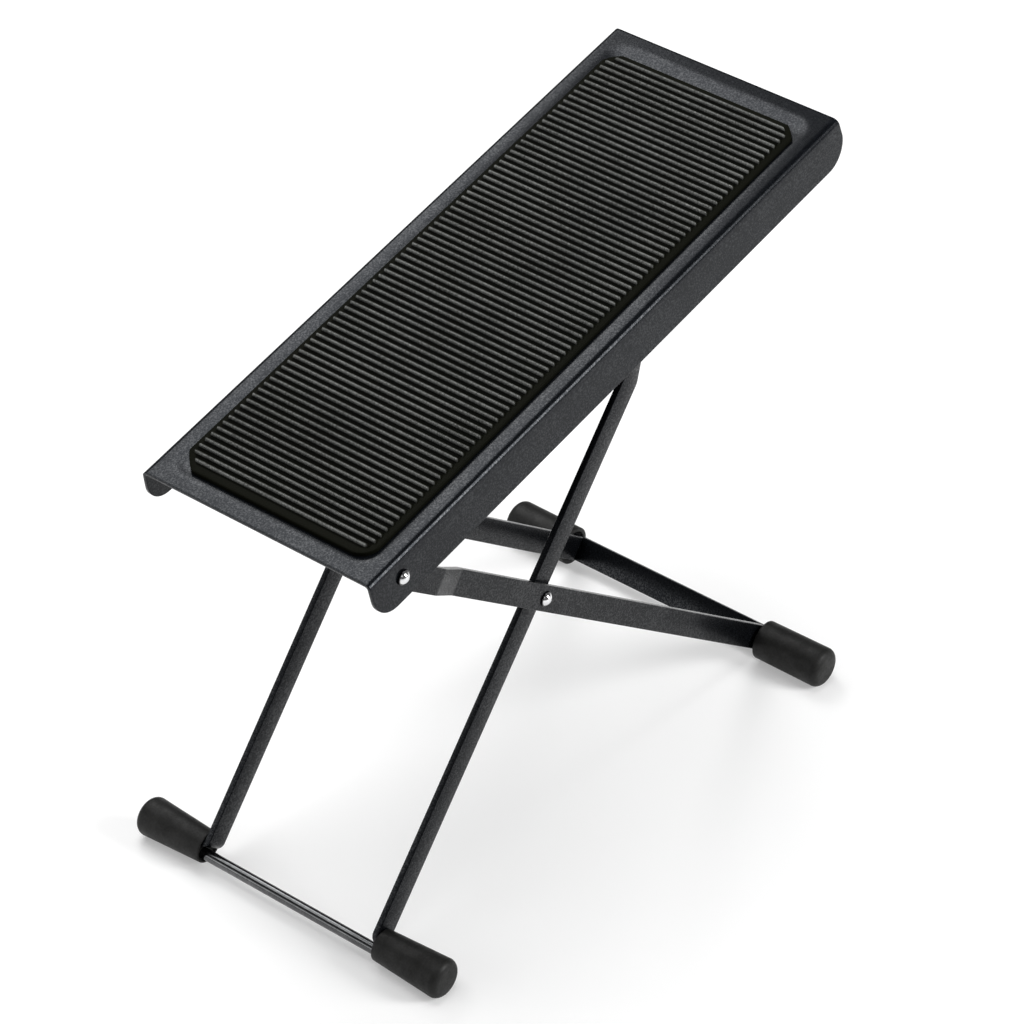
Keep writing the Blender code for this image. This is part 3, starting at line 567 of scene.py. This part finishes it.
footPlate = {
    "length": 0.3000, "width": 0.1140, "sheet": 0.0015,
    "bendRadius": 0.0028, "bendSteps": 8,
    "flangeDepth": 0.0203, "flangeFlare": 3.3, "flangeShares": (0.5, 1), "overhang": 0.0012,
    "noseRadius": 0.0113, "noseSteps": 14,
    "trayDepth": 0.0008, "trayWall": 0.0064, "trayWiden": 0.40, "trayEnd": 0.0054, "traySide": 0.0050,
    "trayCorner": 0.0105,
    "fineStep": 0.0008, "coarseStep": 0.0040, "fineZone": 0.0180,
    "edgeRounding": 0.00030, "roundingSteps": 2, "roundingLimit": 55, "sharpAngle": 50,
}


def spread(start, end, fineZone, fineStep, coarseStep):
    # places from start to end, close together near both ends
    places = []
    place = start
    while place < end - fineStep / 2:
        places.append(place)
        near = min(place - start, end - place) < fineZone
        place += fineStep if near else coarseStep
    places.append(end)
    return places


def roundedDistance(x, y, halfLength, halfWidth, corner):
    # how far inside a rounded rectangle a point lies; negative outside
    across = abs(x) - (halfLength - corner)
    aside = abs(y) - (halfWidth - corner)
    outside = math.hypot(max(across, 0), max(aside, 0))
    return corner - outside - min(max(across, aside), 0)


def easeStep(value):
    value = min(max(value, 0), 1)
    return value * value * (3 - 2 * value)


def flangeEnds(depth):
    # where the flange starts and ends along the plate at a depth under the top face
    plate = footPlate
    straight = plate["flangeDepth"] - plate["noseRadius"]
    if depth <= straight:
        return 0, plate["length"] + plate["overhang"] * depth / straight
    drop = depth - straight
    inset = plate["noseRadius"] - math.sqrt(max(plate["noseRadius"] ** 2 - drop ** 2, 0))
    return inset, plate["length"] + plate["overhang"] - inset


def plateRows():
    # (y, depth) of each row of the folded blank, from one flange's lip to the other's
    plate = footPlate
    turn = math.radians(90 - plate["flangeFlare"])
    setback = plate["bendRadius"] * math.tan(turn / 2)
    flat = plate["width"] / 2 - setback
    top = [(y, 0) for y in spread(-flat, flat, plate["fineZone"], plate["fineStep"], plate["coarseStep"])]
    bend = []
    for step in range(1, plate["bendSteps"] + 1):
        angle = turn * step / plate["bendSteps"]
        bend.append((flat + plate["bendRadius"] * math.sin(angle),
                     plate["bendRadius"] * (1 - math.cos(angle))))
    lastY, lastDepth = bend[-1]
    straight = plate["flangeDepth"] - plate["noseRadius"]
    depths = [lastDepth + (straight - lastDepth) * share for share in plate["flangeShares"]]
    depths += [straight + plate["noseRadius"] * math.sin(math.pi / 2 * step / plate["noseSteps"])
               for step in range(1, plate["noseSteps"] + 1)]
    lean = math.tan(math.radians(plate["flangeFlare"]))
    side = bend + [(lastY + (depth - lastDepth) * lean, depth) for depth in depths]
    return [(-y, depth) for y, depth in reversed(side)] + top + side


def foldBlank():
    plate = footPlate
    rows = plateRows()
    columns = spread(0, plate["length"], plate["fineZone"], plate["fineStep"], plate["coarseStep"])
    bm = bmesh.new()
    bmesh.ops.create_grid(bm, x_segments=len(columns) - 1, y_segments=len(rows) - 1, size=0.5)
    middle = plate["length"] / 2
    for vert in bm.verts:
        column, row = gridPlace(vert, len(columns), len(rows))
        along = columns[column]
        y, depth = rows[row]
        low, high = flangeEnds(depth)
        x = low + (high - low) * along / plate["length"]
        inside = roundedDistance(x - middle, y, middle - plate["trayEnd"],
                                 plate["width"] / 2 - plate["traySide"], plate["trayCorner"])
        wall = plate["trayWall"] * (1 + plate["trayWiden"] * easeStep(x / middle - 1))
        vert.co = (x, y, -depth - plate["trayDepth"] * easeStep(inside / wall))
    bmesh.ops.recalc_face_normals(bm, faces=bm.faces)
    # the largest face lies in the top and has to look up, so that the wall grows downwards
    largest = max(bm.faces, key=lambda face: face.calc_area())
    if largest.normal.z < 0:
        bmesh.ops.reverse_faces(bm, faces=bm.faces)
    return bm


platePiece = addPiece("footPlate", foldBlank(), plateSpace, "plate_paint", "plate", "foot_plate",
                      footPlate["sharpAngle"])
addWall(platePiece, footPlate["sheet"], -1)
addRounding(platePiece, footPlate["edgeRounding"], footPlate["roundingSteps"], footPlate["roundingLimit"])
print("foot plate made")


# rubber mat: smooth rounded border round a field of ribs

mat = {
    "length": 0.2785, "width": 0.0960, "middle": 0.14885, "highTrim": 0.0018,
    "floor": -0.0009, "base": 0.0021, "edgeRadius": 0.0006,
    "ribCount": 77, "ribPitch": 0.00353, "ribFoot": 0.0023, "ribHeight": 0.00145,
    "fieldMargin": 0.0022, "fieldGap": 0.001, "cornerShrink": 0.6, "smallestCorner": 0.0001,
    # size and roundness of each corner: 2 is a round one, 1 is cut straight
    "corners": {"lowNear": (0.0080, 2.0), "lowFar": (0.0085, 1.15),
                "highNear": (0.0062, 1.2), "highFar": (0.0070, 1.4)},
    # place across a rib, height, and wear with a painted highlight: the edge towards the low end is rubbed
    # the most and painted lightest
    "ribShares": ((-1.0, 0.0, 0.0), (-0.92, 0.09, 0.02), (-0.84, 0.20, 0.12), (-0.68, 0.50, 0.60),
                  (-0.56, 0.78, 1.0), (-0.45, 0.93, 0.92), (-0.32, 0.99, 0.56), (-0.18, 1.0, 0.22),
                  (-0.04, 0.99, 0.06), (0.10, 0.97, 0.0), (0.26, 0.92, 0.0), (0.45, 0.78, 0.0),
                  (0.64, 0.50, 0.0), (0.84, 0.18, 0.0), (1.0, 0.0, 0.0)),
    "borderSteps": (0.0, 0.00012, 0.0003, 0.0006), "lowBorderParts": 4, "highBorderParts": 3,
    "ribEndSteps": (0.0, 0.00012, 0.00028, 0.0005, 0.0007), "ribEnd": 0.0007, "wearAndHighlightRise": 1.5,
    "middleShares": (0.75, 0.45, 0.15, -0.15, -0.45, -0.75), "sharpAngle": 60,
}


def matEnds():
    # the rib field is centred on the mat's middle, the high end is trimmed closer to it
    return -mat["length"] / 2, mat["length"] / 2 - mat["highTrim"]


def matEdge(x, side, inset=0.0):
    # half width of the mat at x on one side, its corners rounded or cut
    low, high = matEnds()
    fromEnd = min(x - low, high - x) - inset
    end = "low" if x - low < high - x else "high"
    size, roundness = mat["corners"][end + ("Near" if side < 0 else "Far")]
    size = max(size - inset * mat["cornerShrink"], mat["smallestCorner"])
    cut = 0
    if fromEnd < size:
        share = min(1 - fromEnd / size, 1)
        cut = size * (1 - (1 - share ** roundness) ** (1 / roundness))
    return mat["width"] / 2 - inset - cut


def evenPlaces(start, end, parts):
    # the places that split a stretch into equal parts, its ends left out
    return [start + (end - start) * step / parts for step in range(1, parts)]


def matColumns():
    # (x, rib height, wear with its painted highlight, painted groove shade) across all the ribs, with the
    # border's edge steps at both ends
    low, high = matEnds()
    foot = mat["ribFoot"] / 2
    first = -(mat["ribCount"] - 1) / 2 * mat["ribPitch"]
    edge = mat["borderSteps"][-1]
    before = [low + step for step in mat["borderSteps"]]
    before += evenPlaces(low + edge, first - foot, mat["lowBorderParts"])
    ribs = []
    for index in range(mat["ribCount"]):
        middle = first + index * mat["ribPitch"]
        # the last value paints shade into the grooves, strongest where the rib is lowest
        ribs += [(middle + share * foot, height, wearAndHighlight, 1 - height)
                 for share, height, wearAndHighlight in mat["ribShares"]]
    after = evenPlaces(foot - first, high - edge, mat["highBorderParts"])
    after += [high - step for step in reversed(mat["borderSteps"])]
    return [(x, 0, 0, 0) for x in before] + ribs + [(x, 0, 0, 0) for x in after]


def matHalves(x):
    # half widths of the mat and of its ribbed field at x, on the near and the far side
    halves = []
    for side in (-1, 1):
        edge = matEdge(x, side)
        halves.append((edge, min(matEdge(x, side, mat["fieldMargin"]), edge - mat["fieldGap"])))
    return halves


def matRow(halves):
    # y of each vertex in one column of the grid, from the near edge to the far one
    near, far = ([edge - step for step in mat["borderSteps"]]
                 + [field - step for step in mat["ribEndSteps"]] for edge, field in halves)
    inside = min(abs(near[-1]), abs(far[-1]))
    return [-y for y in near] + [-share * inside for share in mat["middleShares"]] + far[::-1]


def pressMat():
    columns = matColumns()
    halves = [matHalves(x) for x, height, wearAndHighlight, grooveShade in columns]
    rows = [matRow(pair) for pair in halves]
    low, high = matEnds()
    lip = mat["edgeRadius"]
    rowCount = len(rows[0])
    bm = bmesh.new()
    bmesh.ops.create_grid(bm, x_segments=len(columns) - 1, y_segments=rowCount - 1, size=0.5)
    wearAndHighlightLayer = bm.verts.layers.float.new("wearAndHighlight")
    grooveShadeLayer = bm.verts.layers.float.new("grooveShade")
    for vert in bm.verts:
        column, row = gridPlace(vert, len(columns), rowCount)
        x, height, wearAndHighlight, grooveShade = columns[column]
        y = rows[column][row]
        edge, field = halves[column][1 if row > rowCount / 2 else 0]
        inward = min(edge - abs(y), x - low, high - x, lip)
        drop = lip - math.sqrt(max(lip ** 2 - (lip - inward) ** 2, 0))
        end = min(max((field - abs(y)) / mat["ribEnd"], 0), 1)
        rise = height * math.sqrt(max(1 - (1 - end) ** 2, 0))
        # wear together with a painted highlight, strongest on the ribs' low-facing edges
        vert[wearAndHighlightLayer] = wearAndHighlight * min(end * mat["wearAndHighlightRise"], 1)
        # painted groove shade, none on the border
        vert[grooveShadeLayer] = grooveShade * end
        vert.co = (x, y, mat["base"] - drop + mat["ribHeight"] * rise)
    skirt = [item for item in bm.edges if item.is_boundary]
    grown = bmesh.ops.extrude_edge_only(bm, edges=skirt)
    lowered = [item for item in grown["geom"] if isinstance(item, bmesh.types.BMVert)]
    for vert in lowered:
        vert.co.z = 0
    rim = [item for item in bm.edges if item.is_boundary]
    bmesh.ops.edgeloop_fill(bm, edges=rim)
    bmesh.ops.recalc_face_normals(bm, faces=bm.faces)
    return bm


matSpace = plateSpace @ Matrix.Translation((mat["middle"], 0, mat["floor"]))
addPiece("rubberMat", pressMat(), matSpace, "mat_rubber", "plate", "rubber_mat", mat["sharpAngle"])
print("rubber mat made")


# flat bars of the two frames; widths across are measured from the middle plane

bars = {
    "arm": {"body": "rear_frame", "space": armSpace, "width": 0.01105, "thickness": 0.0029,
            "face": 0.0509, "top": 0.05415, "joggleStart": 0.0310, "joggleEnd": 0.0500,
            "lower": 0.1905, "tab": 0.0016, "tabEnd": 0.0790, "tabRadius": 0.00275, "joggleRadius": 0.0090},
    "leg": {"body": "front_frame", "space": legSpace, "width": 0.0110, "thickness": 0.0027,
            "face": 0.0461, "top": 0.03975, "joggleStart": 0.0085, "joggleEnd": 0.0272,
            "lower": 0.1539, "tab": 0.0012, "tabEnd": 0.0736, "tabRadius": 0.00265, "joggleRadius": 0.0090},
}
barShape = {"bendSteps": 10, "tipSteps": 12, "rounding": 0.00030, "roundingSteps": 3}


def makeBars():
    for name, bar in bars.items():
        foot = bar["tab"] - bar["lower"]
        radii = (bar["tabRadius"], bar["joggleRadius"], bar["joggleRadius"])
        for sideName, side in sides:
            middle = side * (bar["face"] - bar["thickness"] / 2)
            top = side * bar["top"]
            spine = [(foot, side * bar["tabEnd"]), (foot, middle), (upperLink - bar["joggleEnd"], middle),
                     (upperLink - bar["joggleStart"], top), (upperLink + bar["width"] / 2, top)]
            strip = bentStrip(spine, radii, bar["width"], barShape["bendSteps"], barShape["tipSteps"])
            piece = addPiece(name + sideName.title(), strip, bar["space"], "frame_paint", bar["body"],
                             name + "_" + sideName)
            addWall(piece, bar["thickness"], 0)
            addRounding(piece, barShape["rounding"])


crossBar = {"along": -0.1921, "end": 0.0790}


def makeCrossBar():
    bm = bmesh.new()
    bmesh.ops.create_cube(bm, size=1)
    size = (bars["arm"]["thickness"], 2 * crossBar["end"], bars["arm"]["width"])
    bmesh.ops.scale(bm, vec=size, verts=bm.verts)
    bmesh.ops.bevel(bm, geom=list(bm.edges), offset=barShape["rounding"], segments=barShape["roundingSteps"],
                    profile=0.5, affect="EDGES", clamp_overlap=True, material=-1)
    bmesh.ops.recalc_face_normals(bm, faces=bm.faces)
    space = armSpace @ Matrix.Translation((crossBar["along"], 0, 0))
    addPiece("rearCrossBar", bm, space, "frame_paint", "rear_frame", "rear_cross_bar")


crossRod = {"along": -0.15685, "radius": 0.0025, "end": 0.0736, "chamfer": 0.0004, "steps": 40}


def makeCrossRod():
    end, radius, chamfer = crossRod["end"], crossRod["radius"], crossRod["chamfer"]
    profile = mirrored([(0, end), (radius - chamfer, end), (radius, end - chamfer)])
    space = legSpace @ outward(1, crossRod["along"], 0)
    addPiece("frontCrossRod", turnProfile(profile, crossRod["steps"]), space, "rod_paint", "front_frame",
             "front_cross_rod")


makeBars()
makeCrossBar()
makeCrossRod()
print("frames made")


# rubber feet: round caps with an open mouth where the bars go in

feet = {
    "rear": {"along": -0.1905, "inner": 0.05230, "length": 0.0337, "innerRadius": 0.0088,
             "outerRadius": 0.00905, "mouthRadius": 0.0068, "space": armSpace, "body": "rear_frame"},
    "front": {"along": -0.1539, "inner": 0.04640, "length": 0.0342, "innerRadius": 0.0071,
              "outerRadius": 0.0087, "mouthRadius": 0.0061, "space": legSpace, "body": "front_frame"},
}
footShape = {"endRadius": 0.0034, "endSteps": 8, "crown": 0.0003, "crownAcross": 0.6, "crownDrop": 0.25,
             "flankShares": (0.15, 0.4, 0.7), "flankReach": 0.9, "lipRadius": 0.0005, "lipSteps": 4,
             "mouthDepth": 0.0016, "steps": 72, "sharpAngle": 50}


def footProfile(foot):
    # (radius, height) from the middle of the closed end down the flank to the floor of the mouth
    shape = footShape
    length, outer = foot["length"], foot["outerRadius"]
    inner, mouth = foot["innerRadius"], foot["mouthRadius"]
    end, crown = shape["endRadius"], shape["crown"]
    lip, depth = shape["lipRadius"], shape["mouthDepth"]
    top = [(0, length), ((outer - end) * shape["crownAcross"], length - crown * shape["crownDrop"])]
    shoulder = arcPoints((outer - end, length - crown - end), end, math.pi / 2, 0, shape["endSteps"])
    flank = [(outer + (inner - outer) * share, length * (1 - share) * shape["flankReach"] + lip * share)
             for share in shape["flankShares"]]
    rim = arcPoints((inner - lip, lip), lip, 0, -math.pi / 2, shape["lipSteps"])
    inside = arcPoints((mouth + lip, lip), lip, -math.pi / 2, -math.pi, shape["lipSteps"])
    floor = [(mouth, depth - lip), (mouth - lip, depth), (0, depth)]
    return top + shoulder + flank + rim + inside + floor


def makeFeet():
    for name, foot in feet.items():
        for sideName, side in sides:
            bm = turnProfile(footProfile(foot), footShape["steps"])
            space = foot["space"] @ outward(side, foot["along"], foot["inner"])
            piece = name + "Foot" + sideName.title()
            addPiece(piece, bm, space, "foot_rubber", foot["body"], name + "_foot_" + sideName,
                     footShape["sharpAngle"])


makeFeet()
print("feet made")


# rivets, washers and spacers

rivet = {"shank": 0.0020, "headRadius": 0.0033, "headHeight": 0.0019, "domeRadius": 0.0028, "domeSteps": 16,
         # shadowRingRadii: from where to where the painted shadow ring darkens the head
         "brim": 0.0003, "brimEdge": 0.0001, "shadowRingRadii": (0.00265, 0.00285), "steps": 48,
         "clinchRadius": 0.0031, "clinchHeight": 0.0012,
         # across and down, in shares of the clinched end's radius and height
         "clinchShares": ((1.0, 0.0), (1.0, 0.45), (0.8, 0.85), (0.5, 1.0), (0.0, 0.9))}


def rivetProfile(length):
    # (radius, height) from the top of the dome down the shank to the clinched end
    dome = rivet["headHeight"] - rivet["brim"]
    sphere = (rivet["domeRadius"] ** 2 + dome ** 2) / (2 * dome)
    edge = math.asin(rivet["domeRadius"] / sphere)
    centre = (0, rivet["headHeight"] - sphere)
    crown = arcPoints(centre, sphere, math.pi / 2, math.pi / 2 - edge, rivet["domeSteps"])
    crown[0] = (0, rivet["headHeight"])
    radius, brim, bevel = rivet["headRadius"], rivet["brim"], rivet["brimEdge"]
    head = [(radius - bevel, brim), (radius, brim - bevel), (radius, 0)]
    shank = [(rivet["shank"], 0), (rivet["shank"], -length)]
    clinch = [(rivet["clinchRadius"] * across, -length - rivet["clinchHeight"] * down)
              for across, down in rivet["clinchShares"]]
    return crown + head + shank + clinch


rings = {
    "washer": {"radius": 0.0045, "height": 0.0008, "steps": 48},
    "spacer": {"radius": 0.0050, "height": 0.0013, "steps": 48},
    "rodWasher": {"radius": 0.0040, "height": 0.0006, "steps": 40},
}
ringShape = {"hole": 0.0023, "edge": 0.00012}


def addRing(kind, name, space, body, node):
    # a flat ring with its outer face at local z = 0
    ring = rings[kind]
    hole, edge = ringShape["hole"], ringShape["edge"]
    radius, height = ring["radius"], ring["height"]
    profile = [(radius - edge, 0), (radius, -edge), (radius, edge - height), (radius - edge, -height),
               (hole + edge, -height), (hole, edge - height), (hole, -edge), (hole + edge, 0)]
    addPiece(name, turnProfile(profile, ring["steps"]), space, "zinc_plate", body, node)


stacks = {
    "hinge": {"seat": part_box("hinge_rivet_far")[1].y - rivet["headHeight"], "along": upperLink,
              "body": "plate", "washer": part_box("hinge_washer_far")[1].y},
    "crossing": {"seat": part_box("crossing_rivet_far")[1].y - rivet["headHeight"], "along": 0,
                 "body": "rear_frame", "washer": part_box("crossing_washer_far")[1].y},
}


def paintShadowRing(bm, start, end):
    # a layer that grows from 0 to 1 between two distances from local Z; it marks where a shadow ring is
    # painted round the rivet head
    layer = bm.verts.layers.float.new("rim")
    for vert in bm.verts:
        vert[layer] = easeStep((vert.co.xy.length - start) / (end - start))
    return bm


def makeFasteners():
    for name, stack in stacks.items():
        for sideName, side in sides:
            tail = name + "_rivet_" + sideName
            low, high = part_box(tail)
            length = (high.y - low.y) - rivet["headHeight"] - rivet["clinchHeight"]
            space = armSpace @ outward(side, stack["along"], stack["seat"])
            head = paintShadowRing(turnProfile(rivetProfile(length), rivet["steps"]), *rivet["shadowRingRadii"])
            addPiece(name + "Rivet" + sideName.title(), head, space, "rivet_chrome", stack["body"], tail)
            space = armSpace @ outward(side, stack["along"], stack["washer"])
            addRing("washer", name + "Washer" + sideName.title(), space, stack["body"],
                    name + "_washer_" + sideName)
    for sideName, side in sides:
        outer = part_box("crossing_spacer_far")[1].y
        addRing("spacer", "crossingSpacer" + sideName.title(), armSpace @ outward(side, 0, outer),
                "rear_frame", "crossing_spacer_" + sideName)


makeFasteners()
print("rivets and washers made")


# locking rod and the racks that hold it

lockingRod = {"radius": 0.0025, "seat": 0.0020, "shoulder": 0.0381, "edge": 0.0002, "steps": 40,
              "head": 0.0032, "headHeight": 0.0013,
              # across and down, in shares of the riveted end's radius and height
              "headShares": ((0.0, 0.0), (0.55, 0.0), (0.9, 0.35), (1.0, 0.7), (1.0, 1.0))}


def makeLockingRod():
    rod = lockingRod
    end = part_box("locking_rod")[1].y
    half = [(rod["head"] * across, end - rod["headHeight"] * down) for across, down in rod["headShares"]]
    half += [(rod["seat"], end - rod["headHeight"]), (rod["seat"], rod["shoulder"]),
             (rod["radius"] - rod["edge"], rod["shoulder"]), (rod["radius"], rod["shoulder"] - rod["edge"])]
    space = legSpace @ outward(1, upperLink, 0)
    addPiece("lockingRod", turnProfile(mirrored(half), rod["steps"]), space, "zinc_plate", "front_frame",
             "locking_rod")
    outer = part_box("locking_rod_washer_far")[1].y
    for sideName, side in sides:
        addRing("rodWasher", "lockingRodWasher" + sideName.title(),
                legSpace @ outward(side, upperLink, outer), "front_frame", "locking_rod_washer_" + sideName)


rack = {"slope": 4.96, "firstNotch": 0.1731, "notches": 5, "pitch": 0.0116, "notchDepth": 0.0050,
        "lead": 0.0052, "root": 0.0022, "clear": 0.0028, "lowMargin": 0.0110, "highMargin": 0.0120,
        "endSlope": 0.0090, "top": -0.0030, "face": 0.0320, "thickness": 0.0020, "footWidth": 0.0120,
        "bendRadius": 0.0022, "bendSteps": 6, "rounding": 0.00030, "roundingSteps": 2}


def rackOutline():
    # distances run from the hinge along the locking rod's straight path, heights are square to it
    along = Vector((math.cos(math.radians(rack["slope"])), -math.sin(math.radians(rack["slope"]))))
    up = Vector((-along.y, along.x))
    start = Vector((hingePlace["along"], -hingePlace["depth"]))

    def spot(distance, height):
        return start + along * distance + up * height

    clear, root = rack["clear"], rack["clear"] + rack["notchDepth"]
    low = spot(rack["firstNotch"] - rack["lead"] - rack["lowMargin"], clear)
    last = rack["firstNotch"] + (rack["notches"] - 1) * rack["pitch"]
    high = spot(last + clear + rack["highMargin"], clear)
    middle = rack["top"] - rack["thickness"] / 2
    points = [Vector((low.x - rack["endSlope"], middle)), low]
    for index in range(rack["notches"]):
        notch = rack["firstNotch"] + index * rack["pitch"]
        points += [spot(notch - rack["lead"], clear), spot(notch - rack["root"], root),
                   spot(notch + clear, root), spot(notch + clear, clear)]
    return points + [high, Vector((high.x + rack["endSlope"], middle))]


def makeRacks():
    for sideName, side in sides:
        bm = bmesh.new()
        y = side * (rack["face"] - rack["thickness"] / 2)
        verts = [bm.verts.new((point.x, y, point.y)) for point in rackOutline()]
        web = bm.faces.new(verts)
        top = [edge for edge in web.edges if verts[0] in edge.verts and verts[-1] in edge.verts]
        grown = bmesh.ops.extrude_edge_only(bm, edges=top)
        moved = [item for item in grown["geom"] if isinstance(item, bmesh.types.BMVert)]
        bmesh.ops.translate(bm, vec=(0, -side * (rack["footWidth"] - rack["thickness"] / 2), 0), verts=moved)
        bmesh.ops.bevel(bm, geom=top, offset=rack["bendRadius"], segments=rack["bendSteps"], profile=0.5,
                        affect="EDGES", clamp_overlap=False, material=-1)
        bmesh.ops.recalc_face_normals(bm, faces=bm.faces)
        piece = addPiece("rack" + sideName.title(), bm, plateSpace, "plate_paint", "plate",
                         "rack_" + sideName)
        addWall(piece, rack["thickness"], 0)
        addRounding(piece, rack["rounding"], rack["roundingSteps"])


makeLockingRod()
makeRacks()
print("locking rod and racks made")
